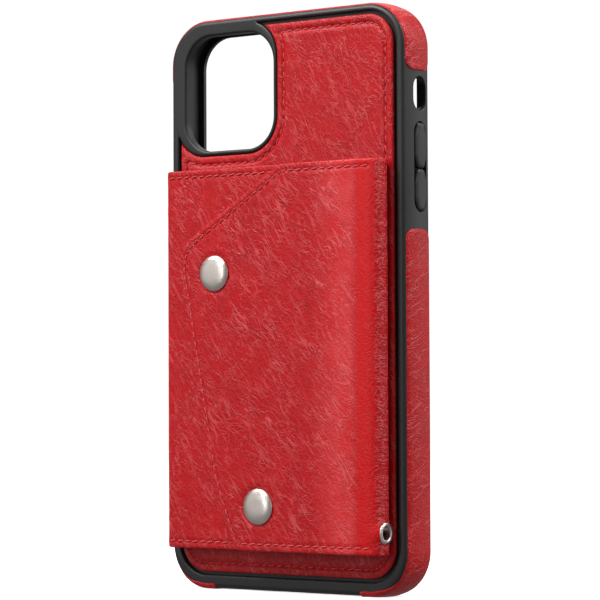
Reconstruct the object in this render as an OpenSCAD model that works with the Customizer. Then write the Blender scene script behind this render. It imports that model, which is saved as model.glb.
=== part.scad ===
// Phone case with a card wallet on its back: an elastomer bumper shell with a sewn leather back panel,
// leather wraps on its shoulders, a card wallet whose flap closes with press snaps, and a strap eyelet.
// Frame: +Z runs along the case, +X to the right as seen from the wallet, -Y out of the back.
// The origin is the middle of the charging port, on the flat foot of the lower edge, at mid depth.
// Lengths are in millimetres.

/* [Phone] */
// Width of the phone that the shell fits
phone_w = 77.8; // [77:0.1:78.4]
// Length of the phone
phone_h = 158; // [157:0.1:159]
// Thickness of the phone
phone_d = 8.1; // [7.6:0.1:8.6]

/* [Shell] */
// Width of the shell without its leather wraps
shell_w = 82.2; // [81.6:0.1:82.8]
// Length of the shell
shell_h = 162.8; // [162.4:0.1:163.6]
// Depth of the shell, back rim to front lip
shell_d = 12.6; // [12.2:0.1:13.2]
// Radius of the shell's outer corners
corner_r = 12.7; // [12:0.1:13.5]
// Radius of the bulge across the side walls
barrel_r = 27; // [24:1:40]
// Rounding of the back and front rims
rim_r = 1; // [0.6:0.1:1.2]
// Play around the phone
phone_play = 0.2; // [0.1:0.05:0.3]
// How far the front lip reaches over the phone
lip_reach = 1.7; // [1.2:0.1:2]

/* [Camera window] */
// Left edge of the window
window_left = -35.3; // [-35.6:0.1:-34.8]
// Right edge of the window
window_right = -3.9; // [-5:0.1:-3.5]
// Lower edge of the window
window_low = 124.9; // [124:0.1:126]
// Upper edge of the window
window_high = 158; // [157:0.1:158.4]
// Corner radius of the window
window_r = 9; // [7:0.5:10]
// Width of the raised lip beside and under the window
window_lip = 1.5; // [1.2:0.1:2]

/* [Back panel] */
// Width of the leather panel
panel_w = 74.2; // [73.6:0.1:75]
// Lower edge of the panel
panel_low = 5; // [4.6:0.1:5.6]
// Upper edge of the panel
panel_high = 159.6; // [159:0.1:159.8]
// Corner radius of the panel
panel_r = 8.5; // [7:0.5:9]
// Thickness of the panel's stiff board
panel_board_t = 0.5; // [0.4:0.05:0.6]
// Thickness of the leather
leather_t = 0.9; // [0.8:0.05:1]
// Groove left between the panel and the rim
groove = 0.9; // [0.7:0.05:1]

/* [Shoulder wraps] */
// How far the wraps stand proud of the shell
wrap_proud = 0.3; // [0.2:0.05:0.4]
// How deep the wraps are let into the shell
wrap_sink = 0.4; // [0.3:0.05:0.5]
// Lower end of the top wrap
top_wrap_low = 143.6; // [143:0.1:145]
// Upper end of the two bottom wraps
bottom_wrap_high = 100.3; // [98:0.1:102]
// Where the bottom wraps end on the lower edge, from the middle
bottom_wrap_inner = 25; // [24.8:0.1:28]
// Rounding of the wraps' free corners
wrap_corner_r = 3; // [2:0.5:4]

/* [Buttons] */
// Middle of the mute switch opening
mute_z = 137.4; // [137:0.1:138]
// Length of the mute switch opening
mute_len = 8.8; // [8:0.1:9]
// Width of the mute switch opening
mute_w = 5.8; // [5:0.1:6]
// Depth of the middle of the side openings
side_y = 1.2; // [0.4:0.1:1.4]
// Lower end of the volume down pad
volume_down_low = 105.3; // [104.8:0.1:106]
// Notch between the two volume pads
volume_split = 116.8; // [116:0.1:117.5]
// Upper end of the volume up pad
volume_up_high = 129.4; // [129:0.1:130]
// Lower end of the power pad
power_low = 108; // [106:0.5:110]
// Upper end of the power pad
power_high = 124; // [122:0.5:126]
// Width of each pad across the wall
pad_w = 5.6; // [5:0.1:6]
// Gap around each pad
pad_gap = 0.25; // [0.2:0.05:0.3]
// Travel of each pad
pad_travel = 0.4; // [0.3:0.05:0.45]
// How far each pad stands out of the wall
pad_proud = 0.35; // [0.2:0.05:0.5]

/* [Lower edge] */
// Half length of the charging port's opening
port_half = 6.2; // [5.8:0.1:7]
// Width of the charging port's opening
port_w = 5.4; // [5:0.1:5.8]
// Near end of each speaker opening, from the middle
speaker_near = 10.5; // [10:0.1:12]
// Far end of each speaker opening, from the middle
speaker_far = 24.2; // [22:0.1:24.2]
// Width of the speaker openings
speaker_w = 4.8; // [4.4:0.1:5.2]

/* [Wallet] */
// Left edge of the wallet
wallet_left = -38.6; // [-39:0.1:-37]
// Lower edge of the wallet
wallet_low = 11.8; // [11.4:0.1:12.6]
// Upper edge of the wallet
wallet_high = 119.2; // [118.4:0.1:119.6]
// Thickness of the whole wallet
wallet_t = 7.8; // [7.7:0.05:8]
// Where the flat part of the wallet ends and its spine begins
spine_x = 32.8; // [32:0.1:33]
// Thickness of the closed pocket under the flap
pocket_t = 5.4; // [5.3:0.05:5.5]
// Thickness of each slot divider
divider_t = 0.4; // [0.3:0.05:0.5]
// Width of the sewn margins that close the slots
margin_w = 3.5; // [3:0.1:4]
// Free edge of the pocket front
pocket_edge = 10; // [8:1:12]
// Step between the free edges of the layers
slot_step = 6; // [5:0.5:6]

/* [Flap] */
// Where the flap's sloping edge meets its upper edge
flap_top_x = 4.3; // [3:0.1:6]
// Left corner of the flap, before it is rounded
flap_tip_x = -32.8; // [-33.5:0.1:-31]
// Height of the flap's left corner
flap_tip_z = 96.4; // [94:0.1:98]
// Rounding of the flap's left corner
flap_tip_r = 10; // [6:0.5:12]
// Bend in the flap's long edge
flap_bend_x = -20.4; // [-21:0.1:-19]
// Height of that bend
flap_bend_z = 31.5; // [28:0.5:34]
// Where the long edge meets the lower edge
flap_foot_x = -12.8; // [-13.5:0.1:-11]
// Thickness of the flap's lining
lining_t = 0.4; // [0.35:0.05:0.45]
// Thickness of the flap's board
flap_board_t = 0.5; // [0.4:0.05:0.55]

/* [Snaps and eyelet] */
// Radius of the snap caps
cap_r = 5; // [4.6:0.1:5.2]
// Height of the snap caps
cap_h = 1.3; // [1:0.1:1.5]
// Upper snap, across
snap_upper_x = -18.8; // [-20:0.1:-18]
// Upper snap, height
snap_upper_z = 89.4; // [88.5:0.1:90]
// Lower snap, across
snap_lower_x = -3.6; // [-5:0.1:-3]
// Lower snap, height
snap_lower_z = 24.2; // [23.5:0.1:25]
// Radius of the snap studs
stud_r = 1.6; // [1.5:0.05:1.7]
// Height of the eyelet
eyelet_z = 17.8; // [17.5:0.1:18.5]
// Radius of the eyelet's hole
eyelet_hole_r = 1.8; // [1.6:0.05:1.9]
// Radius of the eyelet's flange
eyelet_flange_r = 3; // [2.7:0.05:3]

/* [Hidden] */
$fn = 64;

// Depth levels of the shell, back to front
back_y = -shell_d / 2;
recess_depth = panel_board_t + leather_t;
floor_y = back_y + recess_depth;
plate_t = 1.2;
cavity_back_y = floor_y + plate_t;
cavity_front_y = cavity_back_y + phone_d + phone_play;
through = 60;

// The shell's corners turn about these centres
corner_x = shell_w / 2 - corner_r;
foot_cut = 0.15;
foot_bore = 4;
wall_bore = 6;
// Slot ends stop just short of a full half round, so that their outlines stay valid
slot_flat = 0.01;
corner_low_z = corner_r - foot_cut;
corner_high_z = shell_h - corner_r;

// The cavity that holds the phone
cavity_half_w = phone_w / 2 + phone_play;
cavity_low = (shell_h - phone_h) / 2 - phone_play;
cavity_high = (shell_h + phone_h) / 2 + phone_play;
cavity_r = cavity_half_w - corner_x;

// The raised lip runs this far past the window into the rim, and this gap parts it from the panel
lip_run_left = 3.8;
lip_run_up = 3.3;
lip_gap = 0.2;
board_inset = 0.4;

// The wraps reach this far from mid depth, and past the shell's ends
wrap_half_y = shell_d / 2 - rim_r + 0.2;
wrap_over = 20;

// Each pad's foot stays this far from the phone when it is pressed fully
pad_foot_play = 0.15;
pad_in_x = cavity_half_w + pad_travel + pad_foot_play;
pad_out_x = shell_w / 2 + pad_proud;
pad_edge = 0.4;

// Levels of the wallet's layers, measured outwards from the panel
base_top = leather_t;
slot_gap = (pocket_t - 2 * leather_t - 2 * divider_t - 0.1) / 3;
rear_low = base_top + slot_gap;
front_low = rear_low + divider_t + slot_gap;
pocket_low = pocket_t - leather_t;
fold_r = pocket_t / 2;
fold_x = wallet_left + fold_r;
return_x = fold_x + 4;
wallet_h = wallet_high - wallet_low;
flap_low = wallet_t - leather_t - flap_board_t - lining_t;
rear_stop = fold_x + 10.5;
front_stop = fold_x + 6.5;

// Radii of the flap's upper corner, of the bend in its long edge, and of its foot
flap_top_r = 6;
flap_bend_r = 30;
flap_foot_r = 4;

// How far the flap's board and lining stay inside its edge and short of the spine
tip_inset_share = 1.3;
flap_board_inset = 2.5;
flap_board_end = spine_x - 3;
lining_inset = 0.3;
lining_end = spine_x - 1;

// The spine is a half round between the base and the flap, and bends at two lines
spine_r = wallet_t / 2;
spine_inner_r = spine_r - leather_t;
spine_mid_r = spine_r - leather_t / 2;
spine_y = back_y - spine_r;
fold_angle = 32;
fold_line_x = spine_x + spine_mid_r * cos(fold_angle);
fold_line_y = spine_mid_r * sin(fold_angle);
fold_clear_r = 0.75;
eyelet_swing_r = 1.85;
swing_room = 0.4;
// The flat sheets run this far into the round sectors, so that each is one piece
join = 0.01;

// Snap levels, outwards from the panel
stud_flange_t = 0.4;
stud_flange_r = 3.6;
stud_head_h = 0.4;
stud_neck = 0.25;
stud_top = flap_low + lining_t + flap_board_t - 0.1;
socket_low = flap_low - 0.05;
socket_r = 3.7;
socket_play = 0.25;
shank_r = 1.4;
cap_rim_h = 0.3;
post_t = 0.4;
post_r = 3.4;
post_shank_r = 1.2;

// Eyelet levels along X
pole_x = spine_x + spine_r;
eyelet_flange_t = 0.4;
eyelet_barrel_r = eyelet_hole_r + 0.3;
eyelet_seat_x = pole_x - leather_t;
washer_r = 2.5;
washer_t = 0.4;
eyelet_in_x = eyelet_seat_x - washer_t - 0.3;

leather = [0.72, 0.1, 0.13];
lining = [0.5, 0.08, 0.1];
elastomer = [0.13, 0.14, 0.13];
board = [0.45, 0.42, 0.38];
nickel = [0.8, 0.78, 0.74];

// Distance of the shell's skin from the corner centre line, at depth y; mid is the value half way.
// It is rounded to a thousandth, so that the corners and the straight walls meet exactly.
rim_start = shell_d / 2 - rim_r;
function rim_loss(y) =
    abs(y) <= rim_start ? 0 : rim_r - sqrt(max(0, pow(rim_r, 2) - pow(abs(y) - rim_start, 2)));
function thousandths(v) = round(1000 * v) / 1000;
function skin(y, mid) = thousandths(mid - barrel_r + sqrt(pow(barrel_r, 2) - pow(y, 2)) - rim_loss(y));
rim_angles = [0 : 22.5 : 90];
wall_steps = 8;
skin_depths = concat(
    [for (a = rim_angles) -rim_start - rim_r * cos(a)],
    [for (i = [1 : wall_steps - 1]) rim_start * (2 * i / wall_steps - 1)],
    [for (a = rim_angles) rim_start + rim_r * sin(a)]
);

// Corner b of an outline rounded to radius r between its neighbours a and c
function unit(v) = v / norm(v);
function fillet(a, b, c, r, steps = 8) =
    let (u = unit(a - b), v = unit(c - b), half = acos(u * v) / 2)
    let (middle = b + unit(u + v) * r / sin(half))
    let (from = b + u * r / tan(half) - middle, to = b + v * r / tan(half) - middle)
    let (start = atan2(from.y, from.x), raw = atan2(to.y, to.x) - start)
    let (turn = raw > 180 ? raw - 360 : raw < -180 ? raw + 360 : raw)
    [for (i = [0 : steps]) middle + r * [cos(start + turn * i / steps), sin(start + turn * i / steps)]];

// Rectangle with round corners, lowest corner first
module rounded(x0, z0, x1, z1, r) {
    for (x = [x0 + r, x1 - r], z = [z0 + r, z1 - r]) {
        translate([x, z]) circle(r = r);
    }
    translate([x0 + r, z0]) square([x1 - x0 - 2 * r, z1 - z0]);
    translate([x0, z0 + r]) square([x1 - x0, z1 - z0 - 2 * r]);
}

// An outline in X and Z, given thickness along Y from y0 to y1
module plate(y0, y1) {
    translate([0, y1, 0]) rotate([90, 0, 0]) linear_extrude(y1 - y0) children();
}

// A wallet layer: an outline in X and Z between two levels measured outwards from the panel
module layer(low, high) {
    plate(back_y - high, back_y - low) children();
}

// An outline in Y and Z, run along X from x0 to x1
module run_x(x0, x1) {
    translate([x0, 0, 0]) rotate([90, 0, 90]) linear_extrude(x1 - x0) children();
}

// A round rod along X
module rod_x(x0, x1, r) {
    rotate([0, 90, 0]) translate([0, 0, x0]) cylinder(h = x1 - x0, r = r);
}

// A round rod along Y at a place on the back, between two levels outwards from the panel
module pin(x, z, low, high, r) {
    translate([x, back_y - low, z]) rotate([90, 0, 0]) cylinder(h = high - low, r = r);
}

// The solid block of the shell with bulging sides
module barrel_body(mid) {
    half = [for (y = skin_depths) [skin(y, mid), y]];
    for (x = [-corner_x, corner_x], z = [corner_low_z, corner_high_z]) {
        translate([x, 0, z]) rotate([-90, 0, 0]) rotate_extrude()
            polygon(concat([[0, -shell_d / 2]], half, [[0, shell_d / 2]]));
    }
    translate([0, 0, corner_low_z]) linear_extrude(corner_high_z - corner_low_z)
        polygon(concat(
            [for (p = half) [corner_x + p.x, p.y]],
            [for (i = [len(half) - 1 : -1 : 0]) [-corner_x - half[i].x, half[i].y]]
        ));
    run_x(-corner_x, corner_x) polygon(concat(
        [for (p = half) [p.y, corner_high_z + p.x]],
        [for (i = [len(half) - 1 : -1 : 0]) [half[i].y, corner_low_z - half[i].x]]
    ));
}

// The skin between two bulging blocks, which the wraps fill
module wrap_skin(outer) {
    difference() {
        barrel_body(outer);
        barrel_body(corner_r - wrap_sink);
    }
}

module side_band(z0, z1) {
    run_x(-through, through) rounded(-wrap_half_y, z0, wrap_half_y, z1, wrap_corner_r);
}

module top_zone() {
    side_band(top_wrap_low, shell_h + wrap_over);
}

module bottom_zone(side) {
    intersection() {
        side_band(-wrap_over, bottom_wrap_high);
        translate([side > 0 ? bottom_wrap_inner : -through, -through / 2, 0])
            cube([through - bottom_wrap_inner, through, shell_h]);
    }
}

// Outline of the raised lip around the camera window; it runs into the rim above and to the left
module window_lip_outline(grow = 0) {
    r = window_r + window_lip;
    rounded(window_left - lip_run_left - grow, window_low - window_lip - grow,
        window_right + window_lip + grow, window_high + lip_run_up + grow, r);
}

module panel_outline(grow) {
    rounded(-panel_w / 2 - grow, panel_low - grow, panel_w / 2 + grow, panel_high + grow, panel_r + grow);
}

// A slot with round ends along Z through a side wall
module wall_slot(side, z0, z1, w, grow = 0) {
    middle = side * shell_w / 2;
    half = w / 2 + grow;
    run_x(middle - wall_bore, middle + wall_bore) translate([side_y, 0])
        rounded(-half, z0 - grow, half, z1 + grow, half - slot_flat);
}

// A slot with round ends along X through the lower wall
module foot_slot(x0, x1, w) {
    translate([0, 0, -foot_bore]) linear_extrude(2 * foot_bore)
        rounded(x0, -w / 2, x1, w / 2, w / 2 - slot_flat);
}

module bumper_shell() {
    color(elastomer) difference() {
        barrel_body(corner_r);
        translate([-through, -through, -through]) cube([2 * through, 2 * through, through]);
        intersection() {
            wrap_skin(corner_r + 2);
            union() {
                top_zone();
                bottom_zone(1);
                bottom_zone(-1);
            }
        }
        plate(cavity_back_y, cavity_front_y)
            rounded(-cavity_half_w, cavity_low, cavity_half_w, cavity_high, cavity_r);
        plate(cavity_front_y - 1, shell_d)
            rounded(-cavity_half_w + lip_reach, cavity_low + lip_reach, cavity_half_w - lip_reach,
                cavity_high - lip_reach, cavity_r - lip_reach);
        difference() {
            plate(-shell_d, floor_y) panel_outline(groove);
            plate(back_y, floor_y + 1) window_lip_outline(-lip_gap);
        }
        plate(-shell_d, cavity_back_y + 1)
            rounded(window_left, window_low, window_right, window_high, window_r);
        wall_slot(1, mute_z - mute_len / 2, mute_z + mute_len / 2, mute_w);
        wall_slot(1, volume_down_low, volume_up_high, pad_w, pad_gap);
        wall_slot(-1, power_low, power_high, pad_w, pad_gap);
        foot_slot(-port_half, port_half, port_w);
        foot_slot(speaker_near, speaker_far, speaker_w);
        foot_slot(-speaker_far, -speaker_near, speaker_w);
    }
}

module panel_board() {
    color(board) difference() {
        plate(floor_y - panel_board_t, floor_y) panel_outline(-board_inset);
        plate(-shell_d, 0) window_lip_outline(board_inset);
    }
}

module back_panel() {
    color(leather) difference() {
        plate(back_y, floor_y - panel_board_t) panel_outline(0);
        plate(-shell_d, 0) window_lip_outline(0);
    }
}

module wrap_top() {
    color(leather) intersection() {
        wrap_skin(corner_r + wrap_proud);
        top_zone();
    }
}

module wrap_bottom(side) {
    color(leather) intersection() {
        wrap_skin(corner_r + wrap_proud);
        bottom_zone(side);
    }
}

// A pad for one button: it stands proud of the wall, and its foot faces the phone's own button
module pad(side, z0, z1) {
    half = pad_w / 2;
    top_half = half - pad_edge;
    color(elastomer) mirror([side > 0 ? 0 : 1, 0, 0]) {
        run_x(pad_in_x, pad_out_x - pad_edge) translate([side_y, 0])
            rounded(-half, z0, half, z1, half - slot_flat);
        run_x(pad_out_x - pad_edge, pad_out_x) translate([side_y, 0])
            rounded(-top_half, z0 + pad_edge, top_half, z1 - pad_edge, top_half - slot_flat);
    }
}

// A sector of the round spine between two angles from +X
module spine_sector(from, to) {
    reach = 2 * spine_r;
    translate([spine_x, spine_y, wallet_low]) linear_extrude(wallet_h) intersection() {
        difference() {
            circle(r = spine_r);
            circle(r = spine_inner_r);
        }
        polygon(concat([[0, 0]], [for (a = [from, (from + to) / 2, to]) reach * [cos(a), sin(a)]]));
    }
}

// A rod about a fold line: side 1 is the line near the panel, -1 the one near the flap
module fold_rod(side, r, z0, h) {
    translate([fold_line_x, spine_y + side * fold_line_y, z0]) cylinder(h = h, r = r);
}

// The room that the spine and its eyelet need to turn about a fold line
module fold_room(side) {
    fold_rod(side, fold_clear_r, 0, shell_h);
    fold_rod(side, eyelet_swing_r, eyelet_z - eyelet_flange_r - swing_room,
        2 * (eyelet_flange_r + swing_room));
}

module wallet_base() {
    color(leather) difference() {
        union() {
            layer(0, leather_t)
                translate([return_x, wallet_low]) square([spine_x + join - return_x, wallet_h]);
            spine_sector(fold_angle, 90);
        }
        fold_room(1);
    }
}

// A slot divider: a sheet with sewn margins on three sides that make the slot under it
module divider(low, stop, edge) {
    color(lining) {
        layer(low, low + divider_t)
            translate([fold_x, wallet_low]) square([edge - fold_x, wallet_h]);
        layer(low - slot_gap, low) difference() {
            translate([fold_x, wallet_low]) square([edge - fold_x, wallet_h]);
            translate([stop, wallet_low + margin_w]) square([through, wallet_h - 2 * margin_w]);
        }
    }
}

module divider_rear() {
    divider(rear_low, rear_stop, pocket_edge + 2 * slot_step);
}

module divider_front() {
    divider(front_low, front_stop, pocket_edge + slot_step);
}

module snap_holes(low, high, r) {
    pin(snap_upper_x, snap_upper_z, low, high, r);
    pin(snap_lower_x, snap_lower_z, low, high, r);
}

module pocket_front() {
    color(leather) difference() {
        union() {
            translate([fold_x, back_y - fold_r, wallet_low]) rotate([0, 0, 90]) rotate_extrude(angle = 180)
                translate([fold_r - leather_t, 0]) square([leather_t, wallet_h]);
            layer(0, leather_t) translate([fold_x, wallet_low]) square([return_x - fold_x, wallet_h]);
            layer(pocket_low, pocket_t)
                translate([fold_x, wallet_low]) square([pocket_edge - fold_x, wallet_h]);
            for (z = [wallet_low, wallet_high - margin_w]) {
                layer(front_low + divider_t, pocket_low)
                    translate([fold_x, z]) square([pocket_edge - fold_x, margin_w]);
            }
        }
        snap_holes(pocket_low - 1, pocket_t + 1, post_shank_r);
    }
}

// The stud that a snap's socket grips, on the pocket front
module snap_stud(x, z) {
    head_low = stud_top - stud_head_h;
    color(nickel) {
        pin(x, z, pocket_t, pocket_t + stud_flange_t, stud_flange_r);
        pin(x, z, pocket_t + stud_flange_t, head_low, stud_r - stud_neck);
        pin(x, z, head_low, stud_top, stud_r);
    }
}

// The rivet behind the pocket front that holds a stud
module snap_post(x, z) {
    color(nickel) {
        pin(x, z, pocket_low - post_t, pocket_low, post_r);
        pin(x, z, pocket_low, pocket_t, post_shank_r);
    }
}

// The ring inside the flap that grips a stud
module snap_socket(x, z) {
    color(nickel) difference() {
        pin(x, z, socket_low, wallet_t - leather_t, socket_r);
        pin(x, z, socket_low - 1, wallet_t, stud_r + socket_play);
    }
}

// The domed cap outside the flap, with the shank that holds the socket
module snap_cap(x, z) {
    dome = cap_h - cap_rim_h;
    dome_r = (pow(cap_r, 2) + pow(dome, 2)) / (2 * dome);
    color(nickel) {
        pin(x, z, wallet_t - leather_t, wallet_t, shank_r);
        translate([x, back_y - wallet_t, z]) rotate([90, 0, 0]) rotate_extrude() intersection() {
            square([cap_r, cap_h]);
            translate([0, cap_h - dome_r]) circle(r = dome_r, $fn = 256);
        }
    }
}

module spine_leather() {
    flat_half = 2.2;
    color(leather) difference() {
        union() {
            spine_sector(-fold_angle, fold_angle);
            for (side = [-1, 1]) {
                fold_rod(side, leather_t / 2, wallet_low, wallet_h);
            }
            intersection() {
                translate([0, spine_y, eyelet_z]) rod_x(eyelet_seat_x, pole_x, eyelet_flange_r + 0.4);
                translate([0, spine_y - flat_half, 0]) cube([through, 2 * flat_half, shell_h]);
            }
        }
        translate([0, spine_y, eyelet_z]) rod_x(0, through, eyelet_barrel_r);
        translate([0, spine_y, eyelet_z]) rod_x(spine_x, eyelet_seat_x, washer_r + 0.1);
    }
}

module eyelet() {
    color(nickel) translate([0, spine_y, eyelet_z]) difference() {
        union() {
            rod_x(eyelet_in_x, pole_x, eyelet_barrel_r);
            rod_x(pole_x, pole_x + eyelet_flange_t, eyelet_flange_r);
        }
        rod_x(0, through, eyelet_hole_r);
    }
}

module eyelet_washer() {
    color(nickel) translate([0, spine_y, eyelet_z]) difference() {
        rod_x(eyelet_seat_x - washer_t, eyelet_seat_x, washer_r);
        rod_x(0, through, eyelet_barrel_r);
    }
}

// Outline of the flap, drawn in by inset
module flap_outline(inset = 0) {
    top = [flap_top_x + inset, wallet_high - inset];
    tip = [flap_tip_x + tip_inset_share * inset, flap_tip_z];
    bend = [flap_bend_x + inset, flap_bend_z];
    foot = [flap_foot_x + inset, wallet_low + inset];
    right_foot = [spine_x, wallet_low + inset];
    right_top = [spine_x, wallet_high - inset];
    polygon(concat(
        fillet(right_top, top, tip, flap_top_r),
        fillet(top, tip, bend, flap_tip_r),
        fillet(tip, bend, foot, flap_bend_r),
        fillet(bend, foot, right_foot, flap_foot_r),
        [right_foot, right_top]
    ));
}

module flap_leather() {
    color(leather) difference() {
        union() {
            layer(wallet_t - leather_t, wallet_t) flap_outline();
            spine_sector(-90, -fold_angle);
        }
        fold_room(-1);
        snap_holes(0, 2 * wallet_t, shank_r);
    }
}

module flap_board() {
    color(board) difference() {
        layer(flap_low + lining_t, wallet_t - leather_t) intersection() {
            flap_outline(flap_board_inset);
            translate([-through, 0]) square([through + flap_board_end, shell_h]);
        }
        snap_holes(0, 2 * wallet_t, socket_r);
    }
}

module flap_lining() {
    color(lining) difference() {
        layer(flap_low, flap_low + lining_t) intersection() {
            flap_outline(lining_inset);
            translate([-through, 0]) square([through + lining_end, shell_h]);
        }
        snap_holes(0, 2 * wallet_t, socket_r);
    }
}

bumper_shell();
panel_board();
back_panel();
wrap_top();
wrap_bottom(1);  // wrap_bottom_right
wrap_bottom(-1);  // wrap_bottom_left
pad(1, volume_split + pad_gap / 2, volume_up_high);  // volume_up_button
pad(1, volume_down_low, volume_split - pad_gap / 2);  // volume_down_button
pad(-1, power_low, power_high);  // power_button
wallet_base();
divider_rear();
divider_front();
pocket_front();
snap_stud(snap_upper_x, snap_upper_z);  // snap_stud_upper
snap_stud(snap_lower_x, snap_lower_z);  // snap_stud_lower
snap_post(snap_upper_x, snap_upper_z);  // snap_post_upper
snap_post(snap_lower_x, snap_lower_z);  // snap_post_lower
spine_leather();
eyelet();
eyelet_washer();
flap_leather();
flap_board();
flap_lining();
snap_socket(snap_upper_x, snap_upper_z);  // snap_socket_upper
snap_socket(snap_lower_x, snap_lower_z);  // snap_socket_lower
snap_cap(snap_upper_x, snap_upper_z);  // snap_cap_upper
snap_cap(snap_lower_x, snap_lower_z);  // snap_cap_lower
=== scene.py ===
import math

import bmesh
import bpy
import numpy as np
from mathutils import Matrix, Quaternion, Vector, geometry


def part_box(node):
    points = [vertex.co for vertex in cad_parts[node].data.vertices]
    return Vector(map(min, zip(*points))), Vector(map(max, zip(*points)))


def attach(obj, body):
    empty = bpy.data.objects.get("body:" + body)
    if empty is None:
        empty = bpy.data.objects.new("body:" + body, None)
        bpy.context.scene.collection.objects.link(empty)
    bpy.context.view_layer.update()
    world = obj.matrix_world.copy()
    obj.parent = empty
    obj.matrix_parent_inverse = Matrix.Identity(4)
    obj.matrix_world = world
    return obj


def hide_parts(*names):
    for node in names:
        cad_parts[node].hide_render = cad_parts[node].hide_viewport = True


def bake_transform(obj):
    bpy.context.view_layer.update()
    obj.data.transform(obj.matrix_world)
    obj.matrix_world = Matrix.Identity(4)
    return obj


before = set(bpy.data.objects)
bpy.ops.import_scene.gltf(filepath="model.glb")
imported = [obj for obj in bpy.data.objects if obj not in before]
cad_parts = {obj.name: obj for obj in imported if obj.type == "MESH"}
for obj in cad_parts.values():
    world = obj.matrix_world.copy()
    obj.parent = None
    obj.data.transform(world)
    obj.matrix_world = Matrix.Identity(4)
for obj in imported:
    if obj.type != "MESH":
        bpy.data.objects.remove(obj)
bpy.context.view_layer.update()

# Phone case with a card wallet: the leather, rubber and metal that are seen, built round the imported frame.
# Places and sizes are in millimetres, in the frame's own axes, and become metres when a mesh is made.
# A leather piece is a flat sheet cut in (u, v), h being height above its datum, laid in place by a function.
MM = 0.001


def box_mm(node):
    low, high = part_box(node)
    return np.array(low) / MM, np.array(high) / MM


def claim(piece, body, slot, *nodes):
    """What a piece rides on, and the CAD nodes that it stands for. slot, the record's slot for its finish, is
    not used.
    A piece given no body is left unattached."""
    if body:
        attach(piece, body)
    if nodes:
        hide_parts(*nodes)


# ---- measures
SHELL_LOW, SHELL_HIGH = box_mm("bumper_shell")
WRAP_LOW, WRAP_HIGH = box_mm("wrap_top")
PANEL_LOW, PANEL_HIGH = box_mm("back_panel")
FLAP_LOW, FLAP_HIGH = box_mm("flap_leather")
BASE_LOW, _ = box_mm("wallet_base")
POCKET_LOW, POCKET_HIGH = box_mm("pocket_front")
EYELET_LOW, EYELET_HIGH = box_mm("eyelet")
LINING_LOW, LINING_HIGH = box_mm("flap_lining")

BACK_Y = SHELL_LOW[1]
FRONT_Y = SHELL_HIGH[1]
LEATHER = PANEL_HIGH[1] - PANEL_LOW[1]
WRAP_PROUD = WRAP_HIGH[0] - SHELL_HIGH[0]
CORNER_R = 12.7
FOOT_CUT = 0.15
CORNER_X = SHELL_HIGH[0] - CORNER_R
CORNER_LOW_Z = CORNER_R - FOOT_CUT
CORNER_HIGH_Z = WRAP_HIGH[2] - CORNER_R - WRAP_PROUD
BARREL_R = 27.0
RIM_R = 1.0

# Camera window, its raised lip, and the panel that fits round it
WINDOW = (-35.3, 124.9, -3.9, 158.0)
WINDOW_R = 9.0
LIP_CENTRES = ((-28.6, 133.9), (-12.9, 133.9), (-12.9, 150.8))
LIP_R = 10.5
PANEL_R = 8.5
GROOVE = 0.9
LIP_GAP = 0.2
FLOOR_Y = BACK_Y + 1.4
CAVITY_BACK_Y = FLOOR_Y + 1.2

# Openings in the side walls and the foot
SIDE_OUT = 44.0
MUTE_HALF = 2.9
MUTE_SPAN = (133.0, 141.8)
MUTE_IN = 37.5
MUTE_FLARE = 0.7
PAD_PLAY = 0.25
PAD_WEB_X = 39.35
PAD_FLARE = 0.3
FOOT_IN, FOOT_OUT = -4.5, 3.0
FOOT_LEVEL = 0.02
FOOT_FLARE = 0.4
PORT_HALF = 2.7
PORT_REACH = 6.2
SPEAKER_HALF = 2.4
SPEAKER_NEAR, SPEAKER_FAR = 10.5, 24.2

# The opening that holds the phone: half width, lowest and highest z, corner radius
FRONT_LIP = (37.4, 3.9, 158.9, 9.2)
CAVITY = (39.1, 2.2, 160.6, 10.9)

# Wallet
WALLET_LOW = FLAP_LOW[2]
WALLET_HIGH = FLAP_HIGH[2]
WALLET_T = BACK_Y - FLAP_LOW[1]
POCKET_T = BACK_Y - POCKET_LOW[1]
POLE_X = EYELET_HIGH[0] - 0.4
POLE_Y = BACK_Y - WALLET_T / 2
BEND_A = 6.0
BEND_X = POLE_X - BEND_A
BEND_SQUARE = 2.7
EYELET_Z = (EYELET_LOW[2] + EYELET_HIGH[2]) / 2
EYELET_CUT = 2.15
SEAM_INSET = 2.0
PANEL_SEAM_INSET = 2.45

# A sewn groove's depth and width, and how far the thread lies below the leather's face
WALLET_GROOVE = (0.2, 0.42)
WALLET_SUNK = 0.08
PANEL_GROOVE = (0.42, 0.5)
PANEL_SUNK = 0.3

# The way that each leather's creases lean, in degrees
PANEL_LEAN = -66
FLAP_LEAN = -56
POCKET_LEAN = -62
WRAP_LEAN = 65
SPINE_LEAN = -4

# Flap corners before rounding, each with its radius: upper, left, the bend in the long edge, foot
FLAP_CORNERS = ((4.3, WALLET_HIGH, 6), (-32.8, 96.4, 10), (-20.4, 31.5, 30), (-12.8, WALLET_LOW, 4))


# ---- outlines
def arc(x, z, r, start, end, step=0.7):
    """Points on a round stretch, angles in degrees."""
    count = max(4, int(abs(math.radians(end - start)) * r / step) + 2)
    angles = np.radians(np.linspace(start, end, count))
    return np.column_stack([x + r * np.cos(angles), z + r * np.sin(angles)])


def outline(parts, step=0.8, closed=True):
    """One line through runs of points, with its straight stretches cut to step."""
    points = np.vstack([np.atleast_2d(p) for p in parts])
    follow = np.roll(points, -1, axis=0)
    if not closed:
        follow = follow[:-1]
    made = []
    for a, b in zip(points, follow):
        length = float(np.hypot(*(b - a)))
        if length < 1e-6:
            continue
        share = np.arange(0, 1, 1 / max(1, math.ceil(length / step)) - 1e-12)[:, None]
        made.append(a + (b - a) * share)
    if not closed:
        made.append(points[-1:])
    return np.vstack(made)


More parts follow.
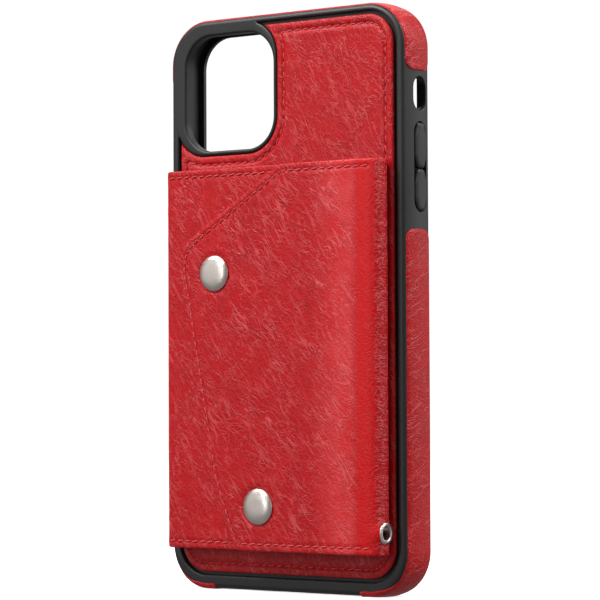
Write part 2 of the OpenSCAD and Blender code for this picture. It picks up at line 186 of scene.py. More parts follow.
def rounded_box(x0, z0, x1, z1, r, step=0.8):
    return outline([
        arc(x1 - r, z0 + r, r, -90, 0, step),
        arc(x1 - r, z1 - r, r, 0, 90, step),
        arc(x0 + r, z1 - r, r, 90, 180, step),
        arc(x0 + r, z0 + r, r, 180, 270, step),
    ], step)


def fillet(a, b, c, r):
    """Corner b between its neighbours a and c, rounded to radius r."""
    a, b, c = (np.array(p, float) for p in (a, b, c))
    u = (a - b) / np.linalg.norm(a - b)
    v = (c - b) / np.linalg.norm(c - b)
    half = math.acos(float(u @ v)) / 2
    middle = b + (u + v) / np.linalg.norm(u + v) * r / math.sin(half)
    first = b + u * r / math.tan(half) - middle
    last = b + v * r / math.tan(half) - middle
    start = math.degrees(math.atan2(first[1], first[0]))
    turn = (math.degrees(math.atan2(last[1], last[0])) - start + 180) % 360 - 180
    return arc(middle[0], middle[1], r, start, start + turn)


def panel_outline(grow=0.0, lip_grow=0.0):
    """The panel's edge: a rounded box whose upper left follows the camera window's lip."""
    x0, x1 = PANEL_LOW[0] - grow, PANEL_HIGH[0] + grow
    z0, z1 = PANEL_LOW[2] - grow, PANEL_HIGH[2] + grow
    r = PANEL_R + grow
    lip_r = LIP_R + lip_grow
    (ax, az), (bx, bz), (cx, cz) = LIP_CENTRES
    top_angle = math.degrees(math.asin((z1 - cz) / lip_r))
    left_angle = math.degrees(math.acos((x0 - ax) / lip_r))
    return outline([
        arc(x1 - r, z0 + r, r, -90, 0),
        arc(x1 - r, z1 - r, r, 0, 90),
        arc(cx, cz, lip_r, top_angle, 0),
        arc(bx, bz, lip_r, 0, -90),
        arc(ax, az, lip_r, -90, -left_angle),
        arc(x0 + r, z0 + r, r, 180, 270),
    ])


def normals(line, closed=True):
    """Unit normals to the left of the way along the line."""
    if closed:
        along = np.roll(line, -1, axis=0) - np.roll(line, 1, axis=0)
    else:
        along = np.gradient(line, axis=0)
    side = np.column_stack([-along[:, 1], along[:, 0]])
    return side / np.maximum(np.linalg.norm(side, axis=1), 1e-9)[:, None]


def distance(points, line, closed=True):
    """Distance of each point from a line."""
    a = line if closed else line[:-1]
    b = np.roll(line, -1, axis=0) if closed else line[1:]
    d = b - a
    size = np.maximum((d * d).sum(1), 1e-12)
    best = np.empty(len(points))
    for i in range(0, len(points), 1500):
        p = points[i:i + 1500, None, :] - a[None]
        t = np.clip((p * d).sum(2) / size, 0, 1)
        gap = p - t[:, :, None] * d[None]
        best[i:i + 1500] = np.sqrt((gap * gap).sum(2).min(1))
    return best


def inside(points, line):
    """Whether each point is inside a closed line."""
    x0, z0 = line[:, 0], line[:, 1]
    x1, z1 = np.roll(x0, -1), np.roll(z0, -1)
    rise = np.where(np.abs(z1 - z0) < 1e-12, 1e-12, z1 - z0)
    found = np.empty(len(points), bool)
    for i in range(0, len(points), 1500):
        px = points[i:i + 1500, 0][:, None]
        pz = points[i:i + 1500, 1][:, None]
        crosses = (z0[None] > pz) != (z1[None] > pz)
        left = px < (x1 - x0)[None] * (pz - z0[None]) / rise[None] + x0[None]
        found[i:i + 1500] = (crosses & left).sum(1) % 2 == 1
    return found


def within(points, loops):
    """Whether each point is inside the first loop and outside the others."""
    found = inside(points, loops[0])
    for hole in loops[1:]:
        found &= ~inside(points, hole)
    return found


def offset(line, d, closed=True):
    """The line moved d to its left, without the stretches where it would fold over itself."""
    moved = line + normals(line, closed) * d
    return moved[distance(moved, line, closed) > abs(d) - 0.03]


# ---- leather's relief
def noise(u, v, seed):
    """Smooth noise from -1 to 1, with one lump per unit."""
    table = np.random.RandomState(seed).uniform(-1, 1, (128, 128))
    iu, iv = np.floor(u).astype(int), np.floor(v).astype(int)
    fu, fv = u - iu, v - iv
    fu = fu * fu * (3 - 2 * fu)
    fv = fv * fv * (3 - 2 * fv)
    a = table[iu % 128, iv % 128]
    b = table[(iu + 1) % 128, iv % 128]
    c = table[iu % 128, (iv + 1) % 128]
    d = table[(iu + 1) % 128, (iv + 1) % 128]
    return (a + (b - a) * fu) * (1 - fv) + (c + (d - c) * fu) * fv


def creases(u, v, angle, length, width, seed):
    """Long thin ridges lying at an angle (an array or one number, in degrees), from 0 to 1."""
    turn = np.radians(angle)
    wander = 2.2 * noise(u / 9, v / 9, seed + 5)
    along = u * np.cos(turn) + v * np.sin(turn)
    across = -u * np.sin(turn) + v * np.cos(turn) + wander
    ridge = 1 - np.abs(noise(along / length, across / width, seed)) * 2.2
    return np.clip(ridge, 0, 1) ** 2


def edge_loss(d, r):
    """How far a rounded edge of radius r falls below the face at distance d inside it."""
    near = np.clip(r - d, 0, r)
    return r - np.sqrt(np.maximum(r * r - near * near, 0))


# ---- meshes
def new_object(name, points, faces, materials, face_slots=None, flat=None):
    """A mesh from points in millimetres. flat is each point's place on the uncut leather, for a material."""
    mesh = bpy.data.meshes.new(name)
    mesh.from_pydata([tuple(p * MM) for p in points], [], faces)
    for m in materials:
        mesh.materials.append(m)
    if face_slots is not None:
        mesh.polygons.foreach_set("material_index", np.array(face_slots, np.int32))
    if flat is not None:
        layer = mesh.attributes.new("flat", "FLOAT_VECTOR", "POINT")
        layer.data.foreach_set("vector", np.asarray(flat, np.float32).ravel())
    obj = bpy.data.objects.new(name, mesh)
    bpy.context.scene.collection.objects.link(obj)
    return obj


def tidy(obj, sharp=40.0):
    """Outward faces, smooth but for edges sharper than an angle in degrees."""
    bm = bmesh.new()
    bm.from_mesh(obj.data)
    bmesh.ops.remove_doubles(bm, verts=bm.verts, dist=1e-7)
    bmesh.ops.dissolve_degenerate(bm, edges=bm.edges, dist=1e-8)
    bmesh.ops.recalc_face_normals(bm, faces=bm.faces)
    for f in bm.faces:
        f.smooth = True
    for e in bm.edges:
        e.smooth = len(e.link_faces) == 2 and e.calc_face_angle() < math.radians(sharp)
    bm.to_mesh(obj.data)
    bm.free()
    return obj


def quads(rows, count, base=0, closed=False):
    """Faces between rows of count points, each row a loop. closed joins the last row to the first."""
    faces = []
    for i in range(rows if closed else rows - 1):
        near, far = base + i * count, base + (i + 1) % rows * count
        for k in range(count):
            m = (k + 1) % count
            faces.append((near + k, near + m, far + m, far + k))
    return faces


def triangulate(loops, extra):
    """Points, triangles over the region inside the first loop and outside the others, and where each of the
    given points went, the loops' points first. Slivers along a straight edge are left out."""
    points = np.vstack([*loops, *extra])
    edges, start = [], 0
    for loop in loops:
        n = len(loop)
        edges += [(start + i, start + (i + 1) % n) for i in range(n)]
        start += n
    made = geometry.delaunay_2d_cdt([Vector(p) for p in points], edges, [], 0, 1e-6)
    found = np.array([tuple(p) for p in made[0]])
    triangles = np.array([f for f in made[2] if len(f) == 3], int)
    fences = {tuple(sorted(e)) for e, sources in zip(made[1], made[4]) if len(sources)}
    sliver = 0.001
    keep = np.zeros(len(triangles), bool)
    corners = found[triangles]
    sides = corners[:, 1:] - corners[:, :1]
    size = np.abs(sides[:, 0, 0] * sides[:, 1, 1] - sides[:, 0, 1] * sides[:, 1, 0])
    wanted = within(corners.mean(axis=1), loops)
    for members in fenced_groups(triangles, fences):
        largest = members[np.argmax(size[members])]
        keep[members] = wanted[largest] and size[largest] > sliver
    index = np.full(len(points), -1)
    for out, sources in enumerate(made[3]):
        for s in sources:
            index[s] = out
    return found, triangles[keep], index


def fenced_groups(triangles, fences):
    """The triangles in groups, each group all that can be reached without crossing a fence."""
    beside = {}
    for t, (a, b, c) in enumerate(triangles):
        for side in ((a, b), (b, c), (c, a)):
            beside.setdefault(tuple(sorted(side)), []).append(t)
    near = [[] for _ in triangles]
    for side, pair in beside.items():
        if len(pair) == 2 and side not in fences:
            near[pair[0]].append(pair[1])
            near[pair[1]].append(pair[0])
    seen = np.zeros(len(triangles), bool)
    groups = []
    for first in range(len(triangles)):
        if seen[first]:
            continue
        seen[first] = True
        members = [first]
        for t in members:
            for other in near[t]:
                if not seen[other]:
                    seen[other] = True
                    members.append(other)
        groups.append(np.array(members))
    return groups


def grid_points(loop, spacing):
    """A hexagonal grid over a loop's box."""
    low, high = loop.min(0), loop.max(0)
    rows = np.arange(low[1], high[1], spacing * 0.866)
    columns = np.arange(low[0], high[0] + spacing, spacing)
    shift = (np.arange(len(rows)) % 2) * spacing / 2
    u = columns[None, :] + shift[:, None]
    v = np.repeat(rows[:, None], len(columns), axis=1)
    return np.column_stack([u.ravel(), v.ravel()])


def sheet(name, line, place, top, bottom, materials, spacing=0.9, edge=0.4, seams=(), lines=()):
    """A closed sheet inside a line, with its faces at top(u, v, d) and bottom(u, v, d), d being the distance
    from the line. It is rounded over the distance edge, and its points are closer along seams and lines."""
    rims = [edge * (1 - math.cos(math.radians(a))) for a in (25, 50, 90)]
    near = [0.75 * s for s in (-1, -0.5, 0, 0.5, 1)]
    inward = 1 if area(line) > 0 else -1
    extra = [offset(line, inward * r) for r in rims]
    for seam in seams:
        extra += [offset(seam, side, closed=False) if side else seam for side in near]
    ring = np.vstack([*extra, *lines])
    ring = ring[inside(ring, line)]
    ring = thinned(ring[distance(ring, line) > rims[0] * 0.7], 0.06)
    grid = grid_points(line, spacing)
    grid = grid[inside(grid, line)]
    keep = distance(grid, line) > edge + spacing * 0.4
    for seam in seams:
        keep &= distance(grid, seam, closed=False) > near[-1] + spacing * 0.3
    for other in lines:
        keep &= distance(grid, other, closed=False) > spacing * 0.4
    flat, faces, index = triangulate([line], [ring, grid[keep]])
    coarse_spacing, coarse_gap = 2.6, 1.2
    coarse = grid_points(line, coarse_spacing)
    coarse = coarse[inside(coarse, line)]
    coarse = coarse[distance(coarse, line) > coarse_gap]
    low_flat, low_faces, low_index = triangulate([line], [coarse, *lines])
    top_h = top(flat[:, 0], flat[:, 1], distance(flat, line))
    low_h = bottom(low_flat[:, 0], low_flat[:, 1], distance(low_flat, line))
    points = np.vstack([place(flat[:, 0], flat[:, 1], top_h), place(low_flat[:, 0], low_flat[:, 1], low_h)])
    uncut = np.vstack([np.column_stack([flat, top_h]), np.column_stack([low_flat, low_h])])
    shift = len(flat)
    polygons = [tuple(f) for f in faces] + [tuple(f[::-1] + shift) for f in low_faces]
    for a in range(len(line)):
        b = (a + 1) % len(line)
        polygons.append((index[a], index[b], low_index[b] + shift, low_index[a] + shift))
    last = len(materials) - 1
    slots = [0] * len(faces) + [min(1, last)] * len(low_faces) + [min(2, last)] * len(line)
    return tidy(new_object(name, points, polygons, materials, slots, uncut))


def flat_back(u, v, d):
    return 0 * u


def skins(outer):
    """A leather sheet's materials: its outer face, its back and its edge."""
    return [outer, LEATHER_BACK, EDGE_PAINT]


def area(loop):
    x, z = loop[:, 0], loop[:, 1]
    return float((x * np.roll(z, -1) - np.roll(x, -1) * z).sum() / 2)


def thinned(points, step):
    """One point of each small cell."""
    cells = np.round(points / step).astype(int)
    return points[np.sort(np.unique(cells, axis=0, return_index=True)[1])]


def spaced(line, gap):
    """The line without the points that follow the last kept one by less than a gap."""
    kept = [line[0]]
    for point in line[1:]:
        if np.hypot(*(point - kept[-1])) >= gap:
            kept.append(point)
    return np.array(kept)


def resampled(line, pitch):
    """Points at an even pitch along an open line."""
    along = np.concatenate([[0], np.cumsum(np.linalg.norm(np.diff(line, axis=0), axis=1))])
    count = max(2, int(along[-1] / pitch) + 1)
    at = np.linspace(0, along[-1], count)
    return np.column_stack([np.interp(at, along, line[:, k]) for k in range(line.shape[1])])


STITCH_PITCH = 2.7
STITCH_SHARE = 0.88
STITCH_R = 0.21
STITCH_SLANT = math.radians(9.0)
STITCH_LIFT = 0.13
STITCH_DIP = 0.42
STITCH_TAPER = 0.35


def stitches(name, seams, place, level):
    """Lockstitches along seams: short arched threads, a little aslant, whose ends dip below their level."""
    sides, rings = 6, 7
    points, faces = [], []
    for seam in seams:
        ends = resampled(seam, STITCH_PITCH)
        for a, b in zip(ends[:-1], ends[1:]):
            x, z = (b - a) / np.linalg.norm(b - a)
            cos, sin = math.cos(STITCH_SLANT), math.sin(STITCH_SLANT)
            way = np.array([x * cos - z * sin, x * sin + z * cos])
            side = np.array([-way[1], way[0]])
            middle = (a + b) / 2
            reach = np.linalg.norm(b - a) * STITCH_SHARE / 2
            base = len(points)
            for t in np.linspace(-1, 1, rings):
                centre = middle + way * reach * t
                height = level + STITCH_LIFT - STITCH_DIP * t ** 4
                size = STITCH_R * (1 - STITCH_TAPER * t ** 4)
                for k in range(sides):
                    angle = 2 * math.pi * k / sides
                    spot = centre + side * size * math.cos(angle)
                    points.append((spot[0], spot[1], height + size * math.sin(angle)))
            faces += quads(rings, sides, base)
            faces.append(tuple(base + k for k in range(sides)))
            faces.append(tuple(base + (rings - 1) * sides + k for k in range(sides)))
    flat = np.array(points)
    return tidy(new_object(name, place(flat[:, 0], flat[:, 1], flat[:, 2]), faces, [THREAD]), 70)


def lathe(name, profile, centre, axis, materials, segments=72):
    """A round solid: profile holds (radius, height along axis), closed on the axis or on itself."""
    axis = np.array(axis, float)
    first = np.cross(axis, [0, 0, 1.0]) if abs(axis[2]) < 0.9 else np.array([1.0, 0, 0])
    first /= np.linalg.norm(first)
    second = np.cross(axis, first)
    points = []
    angles = np.linspace(0, 2 * math.pi, segments, endpoint=False)
    for r, h in profile:
        for a in angles:
            points.append(np.array(centre) + axis * h + (first * math.cos(a) + second * math.sin(a)) * r)
    faces = quads(len(profile), segments, closed=profile[0][0] > 0)
    return tidy(new_object(name, np.array(points), faces, materials), 50)


# ---- materials
class Nodes:
    """Short names for building a material's nodes."""

    def __init__(self, name):
        self.material = bpy.data.materials.new(name)
        self.material.use_nodes = True
        self.tree = self.material.node_tree
        self.shader = self.tree.nodes["Principled BSDF"]

    def add(self, kind, **values):
        node = self.tree.nodes.new(kind)
        for key, value in values.items():
            if hasattr(node, key):
                setattr(node, key, value)
            else:
                node.inputs[key.replace("_", " ")].default_value = value
        return node

    def link(self, source, target):
        self.tree.links.new(source, target)

    def object_coordinates(self, scale=(1, 1, 1), rotation=(0, 0, 0)):
        place = self.add("ShaderNodeTexCoord")
        mapping = self.add("ShaderNodeMapping")
        mapping.inputs["Scale"].default_value = scale
        mapping.inputs["Rotation"].default_value = rotation
        self.link(place.outputs["Object"], mapping.inputs["Vector"])
        return mapping.outputs["Vector"]

    def noise(self, vector, scale, detail=2.0, roughness=0.5):
        node = self.add("ShaderNodeTexNoise", Scale=scale, Detail=detail, Roughness=roughness)
        self.link(vector, node.inputs["Vector"])
        return node.outputs["Fac"]

    def cells(self, vector, scale):
        node = self.add("ShaderNodeTexVoronoi", Scale=scale)
        self.link(vector, node.inputs["Vector"])
        return node.outputs["Distance"]

    def math(self, operation, a, b=0.0):
        node = self.add("ShaderNodeMath", operation=operation)
        for value, socket in ((a, node.inputs[0]), (b, node.inputs[1])):
            if isinstance(value, (int, float)):
                socket.default_value = value
            else:
                self.link(value, socket)
        return node.outputs[0]

    def tint(self, share, colour, towards):
        """The colour, mixed with a fixed one by a share from 0 to 1."""
        node = self.add("ShaderNodeMix", data_type="RGBA")
        self.link(share, node.inputs[0])
        self.link(colour, node.inputs[6])
        node.inputs[7].default_value = (*towards, 1.0)
        return node.outputs[2]

    def product(self, a, b):
        return self.math("MULTIPLY", a, b)

    def total(self, *parts):
        """The sum of sources, each times its weight."""
        made = None
        for source, weight in parts:
            part = source if weight == 1 else self.product(source, weight)
            made = part if made is None else self.math("ADD", made, part)
        return made

    def ramp(self, source, stops):
        node = self.add("ShaderNodeValToRGB")
        element = node.color_ramp.elements
        while len(element) < len(stops):
            element.new(0.5)
        for e, (position, colour) in zip(element, stops):
            e.position = position
            e.color = (*colour, 1.0)
        self.link(source, node.inputs["Fac"])
        return node.outputs["Color"]

    def spread(self, source, low, high, to_low, to_high):
        node = self.add("ShaderNodeMapRange")
        for key, value in (("From Min", low), ("From Max", high), ("To Min", to_low), ("To Max", to_high)):
            node.inputs[key].default_value = value
        self.link(source, node.inputs["Value"])
        return node.outputs["Result"]

    def bump(self, height, distance, strength=1.0):
        node = self.add("ShaderNodeBump", Strength=strength, Distance=distance)
        self.link(height, node.inputs["Height"])
        return node.outputs["Normal"]

    def finish(self, **values):
        for key, value in values.items():
            socket = self.shader.inputs[key.replace("_", " ")]
            if isinstance(value, (int, float, tuple)):
                socket.default_value = value
            else:
                self.link(value, socket)
        return self.material


# Creases: their length and spacing in millimetres, and how thin they are
LONG_CREASES = (13.0, 1.9, 30.0)
CROSS_CREASES = (4.6, 1.5, 26.0)
LEVEL_CREASES = (2.2, 1.1, 15.0)
CROSS_LEAN = 28
LEVEL_LEAN = 4.0
SWAY = 3.5
GRAIN_HEIGHT = 0.00015


def leather_material(name, lean, bend=None):
    """Pebbled, glossy split leather whose creases lean at an angle in degrees; their ridges carry a painted
    highlight.
    bend is the place across the sheet where it starts to fold: just before it a painted sheen makes the
    leather paler, along it the leather is painted vivid, as where the fold reflects no lamp, and smooth, and
    after it it has level creases."""
    n = Nodes(name)
    flat = n.add("ShaderNodeAttribute", attribute_name="flat").outputs["Vector"]
    sway = n.add("ShaderNodeTexNoise", Scale=0.1, Detail=2.0)
    n.link(flat, sway.inputs["Vector"])
    moved = n.add("ShaderNodeVectorMath", operation="MULTIPLY_ADD")
    n.link(sway.outputs["Color"], moved.inputs[0])
    moved.inputs[1].default_value = (SWAY, SWAY, 0.0)
    n.link(flat, moved.inputs[2])

    def ridges(angle, along, across, thin):
        turn = n.add("ShaderNodeMapping")
        turn.inputs["Rotation"].default_value = (0, 0, math.radians(-angle))
        n.link(moved.outputs["Vector"], turn.inputs["Vector"])
        size = n.add("ShaderNodeMapping")
        size.inputs["Scale"].default_value = (1 / along, 1 / across, 1.0)
        n.link(turn.outputs["Vector"], size.inputs["Vector"])
        gap = n.math("ABSOLUTE", n.math("SUBTRACT", n.noise(size.outputs["Vector"], 1.0, 1.5, 0.5), 0.5))
        return n.math("MAXIMUM", n.math("SUBTRACT", 1.0, n.product(gap, thin)), 0.0)

    across = n.product(ridges(lean + CROSS_LEAN, *CROSS_CREASES), 0.6)
    crease = n.math("MAXIMUM", ridges(lean, *LONG_CREASES), across)
    crease = n.product(crease, n.spread(n.noise(flat, 0.13, 2), 0.34, 0.66, 0.2, 1.0))
    pebble = n.math("SUBTRACT", 1.0, n.cells(moved.outputs["Vector"], 1.7))
    fine = n.noise(flat, 2.6, 3, 0.6)
    patches = n.noise(flat, 0.08, 3, 0.6)
    pale = n.spread(n.noise(flat, 0.2, 3), 0.4, 0.7, 0.0, 0.015)
    tone = n.total((patches, 0.3), (pebble, 0.35), (fine, 0.3))
    colour = n.ramp(tone, [(0.28, DEEP_RED), (0.62, BRIGHT_RED)])
    if bend is not None:
        place = n.add("ShaderNodeSeparateXYZ")
        n.link(flat, place.inputs["Vector"])

        def change(start, end, low, high):
            return n.spread(place.outputs["X"], bend + start, bend + end, low, high)

        # Painted sheen: before marks the zone just before the bend, tinted paler. smooth marks the band along
        # the bend, painted vivid as where the fold reflects no lamp, its creases smoothed.
        before = n.product(change(-16, -7, 0.0, 1.0), change(-3, -0.5, 1.0, 0.0))
        smooth = n.product(change(-2.5, -0.5, 0.0, 0.85), change(4, 5.5, 1.0, 0.4))
        level = n.product(ridges(LEVEL_LEAN, *LEVEL_CREASES), change(4, 5.5, 0.0, 1.0))
        pale = n.math("ADD", pale, n.product(before, n.spread(patches, 0.35, 0.6, 0.07, 0.24)))
        crease = n.math("MAXIMUM", n.product(crease, n.math("SUBTRACT", 1.0, smooth)), level)
        colour = n.tint(n.product(n.math("MAXIMUM", before, smooth), 0.75), colour, VIVID_RED)
    # Painted highlight: crease ridges, and the painted sheen before a bend, are tinted towards pale pink;
    # pale also holds faint random paler patches.
    colour = n.tint(n.total((crease, 0.52), (pale, 1)), colour, HIGHLIGHT_AND_PALE_RED)
    rough = n.spread(patches, 0.3, 0.7, 0.32, 0.42)
    normal = n.bump(n.total((pebble, 0.55), (fine, 0.3), (crease, 1)), GRAIN_HEIGHT)
    return n.finish(Base_Color=colour, Roughness=rough, Normal=normal, Specular_IOR_Level=0.25)


def plain_material(name, dark, light, scale, rough, bump=0.00004, **values):
    """A moulded or pressed surface: faint mottling and a fine texture."""
    n = Nodes(name)
    plain = n.object_coordinates()
    fine = n.noise(plain, scale, 4, 0.6)
    broad = n.noise(plain, 45, 2)
    colour = n.ramp(n.total((fine, 0.5), (broad, 0.5)), [(0.35, dark), (0.65, light)])
    roughness = n.spread(broad, 0.3, 0.7, rough - 0.05, rough + 0.06)
    normal = n.bump(fine, bump, 0.6)
    return n.finish(Base_Color=colour, Roughness=roughness, Normal=normal, **values)


def thread_material(name, dark, light):
    """Twisted thread: bands across it, at a slant."""
    n = Nodes(name)
    plain = n.object_coordinates(rotation=(0.4, 0.6, 0.5))
    twist = n.add("ShaderNodeTexWave", Scale=900.0, Distortion=1.5)
    n.link(plain, twist.inputs["Vector"])
    colour = n.ramp(twist.outputs["Fac"], [(0.2, dark), (0.8, light)])
    normal = n.bump(twist.outputs["Fac"], 0.00005, 0.6)
    return n.finish(Base_Color=colour, Roughness=0.6, Normal=normal, Specular_IOR_Level=0.3)


def cloth_material(name, dark, light):
    """A close plain weave."""
    n = Nodes(name)
    plain = n.object_coordinates()
    warp = n.add("ShaderNodeTexWave", Scale=620.0, bands_direction="X")
    weft = n.add("ShaderNodeTexWave", Scale=620.0, bands_direction="Z")
    for wave in (warp, weft):
        n.link(plain, wave.inputs["Vector"])
    weave = n.product(warp.outputs["Fac"], weft.outputs["Fac"])
    colour = n.ramp(n.total((weave, 0.6), (n.noise(plain, 700, 3), 0.4)), [(0.2, dark), (0.75, light)])
    normal = n.bump(weave, 0.00008, 0.7)
    return n.finish(Base_Color=colour, Roughness=0.82, Normal=normal, Sheen_Weight=0.25)


def metal_material(name, colour, rough):
    """Satin plated metal with faint scuffs."""
    n = Nodes(name)
    scuffs = n.noise(n.object_coordinates(scale=(1, 1, 6)), 500, 4)
    dull = tuple(0.82 * c for c in colour)
    tint = n.ramp(n.noise(n.object_coordinates(), 180, 3), [(0.35, dull), (0.65, colour)])
    roughness = n.spread(scuffs, 0.3, 0.7, rough - 0.04, rough + 0.08)
    normal = n.bump(scuffs, 0.000012, 0.5)
    return n.finish(Base_Color=tint, Roughness=roughness, Normal=normal, Metallic=1.0)


# DEEP_RED to BRIGHT_RED is the leather's own tone. The vivid red is painted along a bend, where the fold
# reflects no lamp; the pale pink is painted highlight and sheen, with faint paler patches.
DEEP_RED = (0.38, 0.003, 0.006)
BRIGHT_RED = (0.60, 0.005, 0.009)
HIGHLIGHT_AND_PALE_RED = (0.85, 0.16, 0.17)
VIVID_RED = (0.70, 0.002, 0.004)
PANEL_RED = leather_material("panel_leather", PANEL_LEAN)
FLAP_RED = leather_material("flap_leather_skin", FLAP_LEAN, bend=BEND_X)
POCKET_RED = leather_material("pocket_leather_skin", POCKET_LEAN)
WRAP_RED = leather_material("wrap_leather", WRAP_LEAN)
LEATHER_BACK = plain_material("leather_back", (0.17, 0.02, 0.022), (0.25, 0.04, 0.04), 1500, 0.85, 0.00008)
EDGE_PAINT = plain_material("edge_paint", (0.2, 0.006, 0.01), (0.32, 0.016, 0.022), 1200, 0.45)
RUBBER = plain_material("black_rubber", (0.008, 0.009, 0.008), (0.016, 0.017, 0.016), 2400, 0.46, 0.00003)
THREAD = thread_material("red_thread", (0.50, 0.022, 0.028), (0.84, 0.13, 0.14))
CLOTH = cloth_material("dark_lining", (0.07, 0.008, 0.012), (0.17, 0.02, 0.028))
NICKEL = metal_material("satin_nickel", (0.80, 0.72, 0.66), 0.33)
BOARD = plain_material("grey_board", (0.26, 0.23, 0.19), (0.38, 0.34, 0.29), 900, 0.9, 0.0001)


# ---- rubber shell
def skin(y):
    """Distance of the shell's outer skin from the corner centre line at depth y."""
    flat = FRONT_Y - RIM_R
    loss = 0 if abs(y) <= flat else RIM_R - math.sqrt(max(0, RIM_R ** 2 - (abs(y) - flat) ** 2))
    return CORNER_R - BARREL_R + math.sqrt(BARREL_R ** 2 - y ** 2) - loss


def ring(half, z0, z1, r, y):
    """A rounded box at depth y, always with the same number of points."""
    corner, long, short = 18, 46, 22
    parts = []
    for cx, cz, start in ((half - r, z0 + r, -90), (half - r, z1 - r, 0),
                          (r - half, z1 - r, 90), (r - half, z0 + r, 180)):
        angles = np.radians(np.linspace(start, start + 90, corner + 1))
        parts.append(np.column_stack([cx + r * np.cos(angles), cz + r * np.sin(angles)]))
    made = []
    for i, part in enumerate(parts):
        made.append(part)
        follow = parts[(i + 1) % 4][0]
        count = long if i % 2 == 0 else short
        share = np.linspace(0, 1, count + 1)[1:-1, None]
        made.append(part[-1] + (follow - part[-1]) * share)
    flat = np.vstack(made)
    return np.column_stack([flat[:, 0], np.full(len(flat), y), np.maximum(flat[:, 1], 0.0)])


def outer_ring(y):
    q = skin(y)
    return ring(CORNER_X + q, CORNER_LOW_Z - q, CORNER_HIGH_Z + q, q, y)


def grown(box, grow, y):
    """A ring round a box of half width, lowest z, highest z and corner radius, grown all round."""
    half, low, high, r = box
    return ring(half + grow, low - grow, high + grow, r + grow, y)


def shell_rings():
    """Rings from the back rim round the outside to the cavity's floor."""
    flat = FRONT_Y - RIM_R
    quarter = np.radians(np.linspace(0, 90, 7))
    depths = [-flat - RIM_R * math.cos(a) for a in quarter]
    depths += list(np.linspace(-flat, flat, 14)[1:-1])
    depths += [flat + RIM_R * math.sin(a) for a in quarter]
    rings = [outer_ring(y) for y in depths]
    soft = 0.5
    rings += [grown(FRONT_LIP, soft * (1 - math.sin(a)), FRONT_Y - soft * (1 - math.cos(a))) for a in quarter]
    lip_back, cavity_front = 4.8, 4.6
    rings.append(grown(FRONT_LIP, 0, lip_back))
    rings += [grown(CAVITY, 0, y) for y in (cavity_front, 3.5, 0.0)]
    for inset, rise in ((0, 0.5), (0.15, 0.15), (0.5, 0)):
        rings.append(grown(CAVITY, -inset, CAVITY_BACK_Y + rise))
    return rings


def face_region(loops, y, soft, spacing=3.0):
    """Points and faces of a flat face at depth y with holes, whose edges round off over the distance soft."""
    extra = []
    steps = [soft * (1 - math.cos(math.radians(a))) for a in (22, 45, 67, 90)] if soft else []
    for hole in loops[1:]:
        outward = -1 if area(hole) > 0 else 1
        extra += [offset(hole, outward * s) for s in steps]
    grid = grid_points(loops[0], spacing)
    keep = within(grid, loops)
    for loop in loops:
        keep &= distance(grid, loop) > spacing * 0.4 + soft
    extra = [e[within(e, loops)] for e in extra]
    flat, faces, _ = triangulate(loops, [*extra, grid[keep]])
    drop = np.zeros(len(flat))
    if soft:
        d = np.min([distance(flat, hole) for hole in loops[1:]], axis=0)
        drop = edge_loss(np.where(d < 0.001, 0, d), soft)
        drop = drop * np.clip(distance(flat, loops[0]) / 0.4, 0, 1)
    points = np.column_stack([flat[:, 0], y + drop, flat[:, 1]])
    return points, [tuple(f) for f in faces]


def wall(loop, y0, y1):
    """A wall along a closed loop between two depths."""
    rows = [np.column_stack([loop[:, 0], np.full(len(loop), y), loop[:, 1]]) for y in (y0, y1)]
    return np.vstack(rows), quads(2, len(loop))


def stacked(parts):
    points, faces, shift = [], [], 0
    for p, f in parts:
        points.append(p)
        faces += [tuple(i + shift for i in face) for face in f]
        shift += len(p)
    return np.vstack(points), faces


def even(loop, count):
    """count points evenly round a closed loop."""
    around = np.vstack([loop, loop[:1]])
    along = np.concatenate([[0], np.cumsum(np.linalg.norm(np.diff(around, axis=0), axis=1))])
    at = np.linspace(0, along[-1], count, endpoint=False)
    return np.column_stack([np.interp(at, along, around[:, k]) for k in range(2)])


def slot_cutter(y_middle, y_half, z0, z1, x_in, x_out, surface, flare, side=1):
    """A slot with round ends through a side wall, flared where it meets the outer surface."""
    step = 0.5
    levels = [(x_in, 0), (surface - flare, 0), (surface - flare * 0.4, flare * 0.25),
              (surface, flare * 0.8), (x_out, flare * 1.8)]
    loops = [rounded_box(-y_half - grow, z0 - grow, y_half + grow, z1 + grow, y_half + grow - 0.01, step)
             for _, grow in levels]
    count = len(resampled(np.vstack([loops[0], loops[0][:1]]), step)) - 1
    rows = [np.column_stack([np.full(count, side * x), y_middle + loop[:, 0], loop[:, 1]])
            for (x, _), loop in zip(levels, [even(loop, count) for loop in loops])]
    last = (len(levels) - 1) * count
    ends = [tuple(range(count)), tuple(range(last, last + count))]
    return np.vstack(rows), quads(len(levels), count) + ends


def foot_cutter(y_half, x0, x1):
    """A slot made for the right wall, turned to cut down through the lower wall."""
    points, faces = slot_cutter(0, y_half, x0, x1, FOOT_IN, FOOT_OUT, FOOT_LEVEL, FOOT_FLARE)
    return np.column_stack([points[:, 2], points[:, 1], -points[:, 0]]), faces


